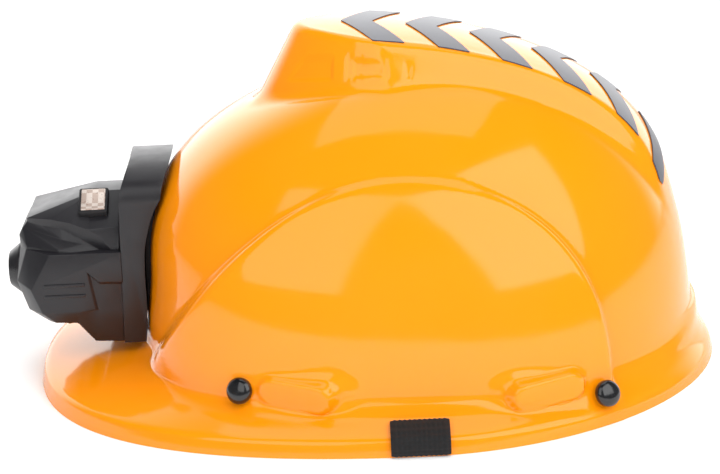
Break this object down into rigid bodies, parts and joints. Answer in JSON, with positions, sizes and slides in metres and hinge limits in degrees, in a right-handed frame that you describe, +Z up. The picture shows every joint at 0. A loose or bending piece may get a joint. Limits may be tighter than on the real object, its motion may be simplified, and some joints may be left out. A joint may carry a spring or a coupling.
{
  "type": "miner helmet",
  "caption": "Orange miner safety helmet with a raised ridge, reflective chevron films, a full brim, a suspension harness with a nape ratchet, and a clip-on front lamp.",
  "frame": {"origin": "middle of the footprint, on the plane of the brim's rim that the helmet stands on", "axes": "+Z up, the front with the lamp towards -Y, left and right along X"},
  "size_m": [0.2552, 0.3155, 0.1546],
  "materials": {
    "orange_shell": "glossy orange ABS",
    "reflective_film": "grey retroreflective film",
    "black_nylon": "satin black nylon",
    "black_webbing": "woven webbing",
    "zinc_steel": "zinc plated",
    "lamp_plastic": "satin charcoal ABS",
    "lens_clear": "clear polycarbonate",
    "reflector_silver": "metallised plastic",
    "board_green": "circuit board",
    "emitter_yellow": "phosphor",
    "cell_grey": "pouch cell",
    "gasket_rubber": "soft rubber",
    "button_rubber": "moulded rubber",
    "harness_plastic": "polyethylene",
    "sweat_foam": "foam-backed cloth"
  },
  "bodies": {
    "helmet": {"shell": "orange_shell", "ridge_chevrons": "reflective_film", "stud_caps": "black_nylon", "stud_screws": "zinc_steel", "webbing_loop_right": "black_webbing", "webbing_loop_left": "black_webbing", "lamp_gasket": "gasket_rubber", "lamp_bracket": "black_nylon", "bracket_screws": "zinc_steel", "bracket_nuts": "zinc_steel", "headband": "harness_plastic", "nape_case": "harness_plastic", "nape_cover": "harness_plastic", "brow_pad": "sweat_foam", "crown_strap_a": "black_webbing", "crown_strap_b": "black_webbing", "hanger_keys": "harness_plastic"},
    "lamp": {"lamp_rear_housing": "lamp_plastic", "lamp_front_housing": "lamp_plastic", "lamp_bezel": "lamp_plastic", "lamp_lens": "lens_clear", "lamp_reflector": "reflector_silver", "lamp_board": "board_green", "lamp_emitter": "emitter_yellow", "lamp_cell": "cell_grey", "case_screws": "zinc_steel", "button_switch": "black_nylon"},
    "button": {"lamp_button": "button_rubber"},
    "knob": {"ratchet_pinion": "black_nylon", "ratchet_knob": "harness_plastic", "knob_screw": "zinc_steel"},
    "left_tail": {"tail_left": "harness_plastic"},
    "right_tail": {"tail_right": "harness_plastic"}
  },
  "joints": [
    {"name": "lamp_lift", "type": "slide", "parent": "helmet", "child": "lamp", "axis": [0, 0, 1], "range_m": [0, 0.06]},
    {"name": "button_press", "type": "slide", "parent": "lamp", "child": "button", "axis": [-0.638, 0, -0.77], "range_m": [0, 0.0013], "stiffness_N_per_m": 500, "springref_m": -0.0006},
    {"name": "ratchet_turn", "type": "hinge", "parent": "helmet", "child": "knob", "pos_m": [0, 0.133, 0.027], "axis": [0, 1, 0], "range_deg": [0, 118]},
    {"name": "left_tail_pull", "type": "hinge", "parent": "helmet", "child": "left_tail", "pos_m": [0, 0.044, 0.027], "axis": [0, 0, 1], "range_deg": [-8, 0.01]},
    {"name": "right_tail_pull", "type": "hinge", "parent": "helmet", "child": "right_tail", "pos_m": [0, 0.044, 0.027], "axis": [0, 0, 1], "range_deg": [-0.01, 8]}
  ],
  "couplings": [
    {"joint": "left_tail_pull", "follows": "ratchet_turn", "ratio": -0.06751},
    {"joint": "right_tail_pull", "follows": "ratchet_turn", "ratio": 0.06751}
  ]
}
